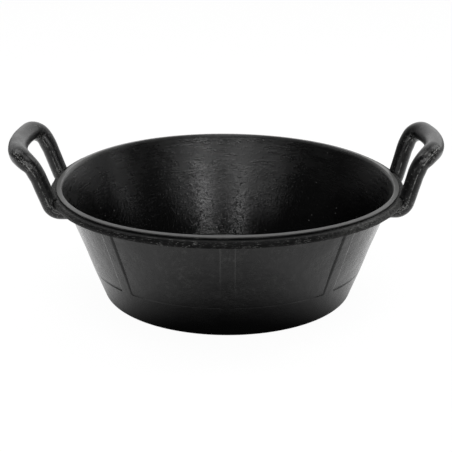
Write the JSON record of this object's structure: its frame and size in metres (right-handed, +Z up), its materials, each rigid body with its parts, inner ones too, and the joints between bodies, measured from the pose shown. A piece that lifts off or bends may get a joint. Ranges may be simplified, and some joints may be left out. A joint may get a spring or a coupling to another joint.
{
  "type": "feed tub",
  "caption": "Round black rubber tub with a flaring ribbed wall, a beaded rim and a loop handle at each end, for feeding or watering livestock.",
  "frame": {"origin": "middle of the flat underside, on the ground", "axes": "+Z up, +X through the right handle, +Y away from the viewer of the front"},
  "size_m": [0.6559, 0.539, 0.2561],
  "materials": {
    "tub_rubber": "satin moulded rubber",
    "bead_rubber": "rough moulded rubber with flash",
    "handle_rubber": "satin moulded rubber with a parting line"
  },
  "bodies": {
    "root": {"floor_disc": "tub_rubber", "side_wall": "tub_rubber", "rim_bead": "bead_rubber", "left_handle": "handle_rubber", "right_handle": "handle_rubber"}
  },
  "joints": []
}
